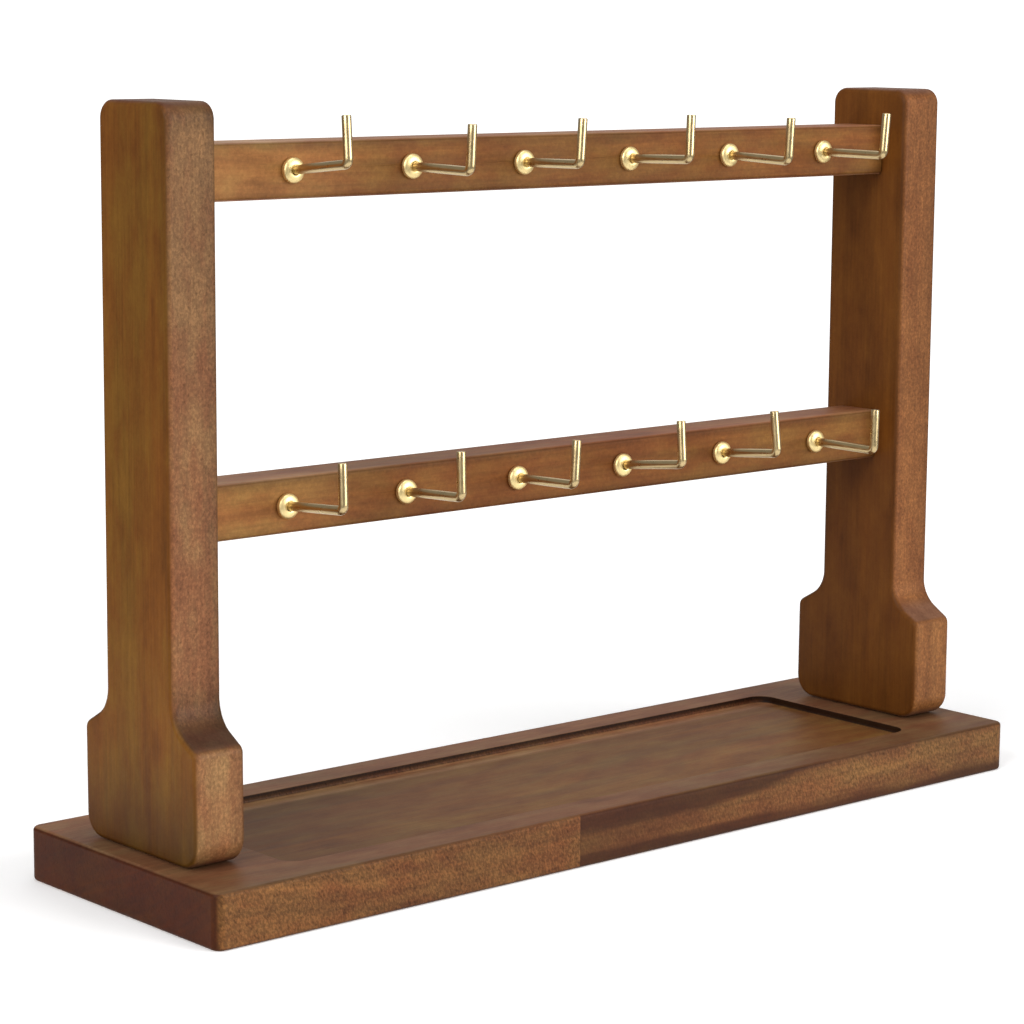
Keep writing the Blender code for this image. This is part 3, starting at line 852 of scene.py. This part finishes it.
# ---- Base board ----
def make_base():
    low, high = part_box("base_board")
    outline = rounded_rectangle(high.x - low.x, high.y - low.y, BASE_CORNER_RADIUS)
    board = rounded_profile(low.z, high.z, WOOD_EDGE_RADIUS)
    mesh = loft("base_board_fine", outline, board, Matrix.Identity(4))
    piece = add_object("fine_base_board", mesh, base_wood)

    # The tray's cutter: a coved foot, and a rim that flares out over the top.
    floor = high.z - TRAY_DEPTH
    profile = []
    cove_steps, rim_steps = 6, 4
    for step in range(cove_steps + 1):
        angle = math.pi / 2 * step / cove_steps
        inset = TRAY_COVE_RADIUS * (1 - math.sin(angle))
        profile.append((inset, floor + TRAY_COVE_RADIUS * (1 - math.cos(angle))))
    for step in range(rim_steps + 1):
        angle = math.pi / 2 * step / rim_steps
        flare = TRAY_RIM_RADIUS * (1 - math.cos(angle))
        profile.append((-flare, high.z - TRAY_RIM_RADIUS * (1 - math.sin(angle))))
    profile.append((-TRAY_RIM_RADIUS, high.z + OVERRUN))
    tray = rounded_rectangle(TRAY_LENGTH, TRAY_WIDTH, TRAY_CORNER_RADIUS)
    subtract(piece, loft("tray", tray, profile, Matrix.Identity(4)))
    screw_holes(piece, SIDES)
    settle_normals(piece)
    show(piece, "base_board")


# ---- Uprights and rails ----
def make_uprights():
    for side, material in (("left", left_wood), ("right", right_wood)):
        low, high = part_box(f"{side}_upright")
        outline = upright_outline(high.y - low.y, high.z - low.z)
        across = Matrix(((0, 0, 1, 0), (1, 0, 0, 0), (0, 1, 0, low.z), (0, 0, 0, 1)))
        profile = rounded_profile(low.x, high.x, UPRIGHT_EDGE_RADIUS)
        mesh = loft(f"{side}_upright_fine", outline, profile, across, wobble=UPRIGHT_WOBBLE)
        piece = add_object(f"fine_{side}_upright", mesh, material)
        dowel_holes(piece, ROWS, (side,))
        screw_holes(piece, (side,))
        settle_normals(piece)
        show(piece, f"{side}_upright")


def hook_place(row, index):
    """Where a hook's wire leaves the rail's front, turned as the hook was left."""
    rail_low, rail_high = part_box(f"{row}_rail")
    collar_low, collar_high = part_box(f"{row}_collar_{index + 1}")
    rise, lean, turn = HOOK_TILTS[row][index]
    tilt = Euler((math.radians(-rise), math.radians(lean), math.radians(turn)))
    x = (collar_low.x + collar_high.x) / 2
    spot = Vector((x, rail_low.y, (rail_low.z + rail_high.z) / 2))
    return Matrix.Translation(spot) @ tilt.to_matrix().to_4x4()


def make_rails():
    for row in ROWS:
        low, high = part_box(f"{row}_rail")
        middle = (low + high) / 2
        outline = rounded_rectangle(high.y - low.y, high.z - low.z, WOOD_EDGE_RADIUS,
                                    steps=RAIL_EDGE_STEPS)
        across = Matrix(((0, 0, 1, 0), (1, 0, 0, middle.y), (0, 1, 0, middle.z), (0, 0, 0, 1)))
        end = RAIL_END_CHAMFER
        profile = [(end, low.x), (0, low.x + end), (0, high.x - end), (end, high.x)]
        mesh = loft(f"{row}_rail_fine", outline, profile, across)
        piece = add_object(f"fine_{row}_rail", mesh, rail_wood)
        dowel_holes(piece, (row,), SIDES)
        radius = WIRE_RADIUS + GAP
        depth = HOOK_SHANK + GAP
        pilot = [(0, depth), (radius, depth), (radius, -OVERRUN), (0, -OVERRUN)]
        for index in range(len(HOOK_TILTS[row])):
            place = hook_place(row, index) @ Matrix.Rotation(-math.pi / 2, 4, "X")
            subtract(piece, turned("pilot", pilot, PILOT_SIDES, place))
        settle_normals(piece)
        show(piece, f"{row}_rail")


# ---- Hooks ----
def thread_radius(y):
    """The rod's radius round its threaded stretch, where the groove climbs one pitch a turn."""
    def radius(angle):
        turn = (y / HOOK_THREAD_PITCH - angle / (2 * math.pi)) % 1.0
        groove = abs(2 * turn - 1)
        off_middle = abs(2 * y - HOOK_THREAD_LENGTH - HOOK_THREAD_FADE)
        fade = (HOOK_THREAD_LENGTH + HOOK_THREAD_FADE - off_middle) / (2 * HOOK_THREAD_FADE)
        fade = min(1.0, max(0.0, fade))
        return WIRE_RADIUS * (1 - (1 - HOOK_ROOT) * (1 - groove) * fade)
    return radius


def hook_stations():
    """Along the wire, from the screw point inside the rail to the tip of the hook."""
    point_steps, thread_steps, leg_steps, bend_steps, tip_steps = 6, 60, 8, 16, 4

    def plain(angle):
        return WIRE_RADIUS

    def pointed(y, taper):
        return lambda angle: taper * thread_radius(y)(angle)

    toward_tip = math.pi
    stations = []
    for step in range(point_steps + 1):
        y = HOOK_SHANK - HOOK_POINT_LENGTH * step / point_steps
        taper = HOOK_POINT_SHARE + (1 - HOOK_POINT_SHARE) * step / point_steps
        stations.append((y, 0.0, toward_tip, pointed(y, taper)))
    for step in range(1, thread_steps + 1):
        y = (HOOK_SHANK - HOOK_POINT_LENGTH) * (1 - step / thread_steps)
        stations.append((y, 0.0, toward_tip, thread_radius(y)))

    bend_y = -(HOOK_REACH - HOOK_BEND_RADIUS)
    for step in range(1, leg_steps + 1):
        stations.append((bend_y * step / leg_steps, 0.0, toward_tip, plain))
    for step in range(1, bend_steps + 1):
        turn = math.pi / 2 * step / bend_steps
        y = bend_y - HOOK_BEND_RADIUS * math.sin(turn)
        z = HOOK_BEND_RADIUS * (1 - math.cos(turn))
        stations.append((y, z, toward_tip - turn, plain))

    straight = HOOK_RISE - HOOK_TIP_ROUNDING - HOOK_BEND_RADIUS
    for step in range(1, tip_steps + 1):
        z = HOOK_BEND_RADIUS + straight * step / tip_steps
        stations.append((-HOOK_REACH, z, math.pi / 2, plain))
    for step in range(1, tip_steps + 1):
        turn = math.pi / 2 * step / tip_steps
        radius = WIRE_RADIUS - HOOK_TIP_ROUNDING * (1 - math.cos(turn))
        z = HOOK_RISE - HOOK_TIP_ROUNDING + HOOK_TIP_ROUNDING * math.sin(turn)
        stations.append((-HOOK_REACH, z, math.pi / 2, lambda angle, radius=radius: radius))
    return stations


def make_hooks():
    for row in ROWS:
        for index in range(len(HOOK_TILTS[row])):
            name = f"{row}_hook_{index + 1}"
            mesh = sweep(name + "_fine", hook_stations(), WIRE_SIDES, hook_place(row, index))
            piece = add_object("fine_" + name, mesh, hook_brass, cut_brass)
            show(piece, name)


# ---- Collars ----
def collar_profile(radius, height):
    """A low dome that comes down close to the wire: over the top, round the rim, and back."""
    start = COLLAR_BORE_RADIUS
    dome_steps = 12
    profile = [(start, BORE_CHAMFER), (start, height - COLLAR_LIP)]
    for step in range(dome_steps + 1):
        share = COLLAR_FIRST_TURN + (1 - COLLAR_FIRST_TURN) * step / dome_steps
        angle = math.pi / 2 * share
        across = start + (radius - start) * math.sin(angle)
        profile.append((across, COLLAR_RIM + (height - COLLAR_RIM) * math.cos(angle)))
    profile += [(radius, COLLAR_EDGE), (radius - COLLAR_EDGE, 0), (start + BORE_CHAMFER, 0)]
    return profile


def make_collars():
    for row in ROWS:
        for index in range(len(HOOK_TILTS[row])):
            name = f"{row}_collar_{index + 1}"
            low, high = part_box(name)
            height = high.y - low.y
            profile = collar_profile((high.x - low.x) / 2, height)
            place = Matrix.Translation(((low.x + high.x) / 2, high.y, (low.z + high.z) / 2))
            place = place @ Matrix.Rotation(math.pi / 2, 4, "X")
            mesh = turned(name + "_fine", profile, COLLAR_SIDES, place, ring=True)
            piece = add_object("fine_" + name, mesh, collar_brass)
            show(piece, name)


# ---- Fasteners keep their CAD shape and take a better material ----
def finish_fasteners():
    for name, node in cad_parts.items():
        if "_dowel_" in name:
            node.data.materials[0] = dowel_beech
        if name.startswith("base_screw"):
            node.data.materials[0] = screw_steel


# ---- Studio ----
def add_area(name, azimuth, elevation, distance, size, power):
    """A square soft box that faces the rack's middle."""
    light = bpy.data.lights.new(name, "AREA")
    light.shape = "SQUARE"
    light.size = size
    light.energy = power
    lamp = bpy.data.objects.new(name, light)
    bpy.context.scene.collection.objects.link(lamp)
    turn = math.radians(azimuth)
    rise = math.radians(elevation)
    level = math.cos(rise)
    direction = Vector((math.sin(turn) * level, -math.cos(turn) * level, math.sin(rise)))
    lamp.location = Vector(LIGHT_TARGET) + direction * distance
    lamp.rotation_euler = direction.to_track_quat("Z", "Y").to_euler()


def make_studio():
    world = bpy.data.worlds.new("studio")
    world.use_nodes = True
    nodes = world.node_tree.nodes
    links = world.node_tree.links
    background = nodes["Background"]
    path = nodes.new("ShaderNodeLightPath")
    level = nodes.new("ShaderNodeMapRange")
    links.new(path.outputs["Is Camera Ray"], level.inputs[0])
    level.inputs[3].default_value = WORLD_DIM
    level.inputs[4].default_value = WORLD_BRIGHT
    links.new(level.outputs[0], background.inputs["Strength"])
    background.inputs["Color"].default_value = (1, 1, 1, 1)
    bpy.context.scene.world = world
    bpy.context.scene.view_settings.view_transform = "Standard"

    for name, settings in LIGHTS.items():
        add_area(name, *settings)

    shape = bmesh.new()
    bmesh.ops.create_circle(shape, cap_ends=True, segments=FLOOR_SIDES, radius=FLOOR_RADIUS)
    mesh = finish_mesh("floor", shape)
    paper = Shader("floor_paper")
    tooth = paper.noise(paper.coordinate("Object"), 900, 3.0)
    paper.set("Base Color", paper.mix(tooth, (0.94, 0.94, 0.94), (0.98, 0.98, 0.98)))
    paper.set("Roughness", FLOOR_ROUGHNESS)
    paper.set("Specular IOR Level", FLOOR_SPECULAR)
    paper.set("Emission Color", (1, 1, 1, 1))
    paper.set("Emission Strength", FLOOR_GLOW)
    floor = add_object("floor", mesh, paper.material)


def make_camera():
    turn = math.radians(CAMERA_AZIMUTH)
    down = math.radians(CAMERA_DOWN)
    roll = math.radians(CAMERA_ROLL)
    ahead = math.cos(down)
    forward = Vector((math.sin(turn) * ahead, math.cos(turn) * ahead, -math.sin(down)))
    level = Vector((math.cos(turn), -math.sin(turn), 0))
    upright = level.cross(forward)
    right = level * math.cos(roll) + upright * math.sin(roll)
    up = upright * math.cos(roll) - level * math.sin(roll)
    data = bpy.data.cameras.new("camera")
    data.lens = CAMERA_LENS
    data.sensor_width = CAMERA_SENSOR
    camera = bpy.data.objects.new("camera", data)
    bpy.context.scene.collection.objects.link(camera)
    axes = Matrix((right, up, -forward)).transposed().to_4x4()
    camera.matrix_world = Matrix.Translation(CAMERA_PLACE) @ axes
    bpy.context.scene.camera = camera


# ---- The rack ----
make_base()
make_uprights()
make_rails()
make_hooks()
make_collars()
finish_fasteners()
make_studio()
make_camera()
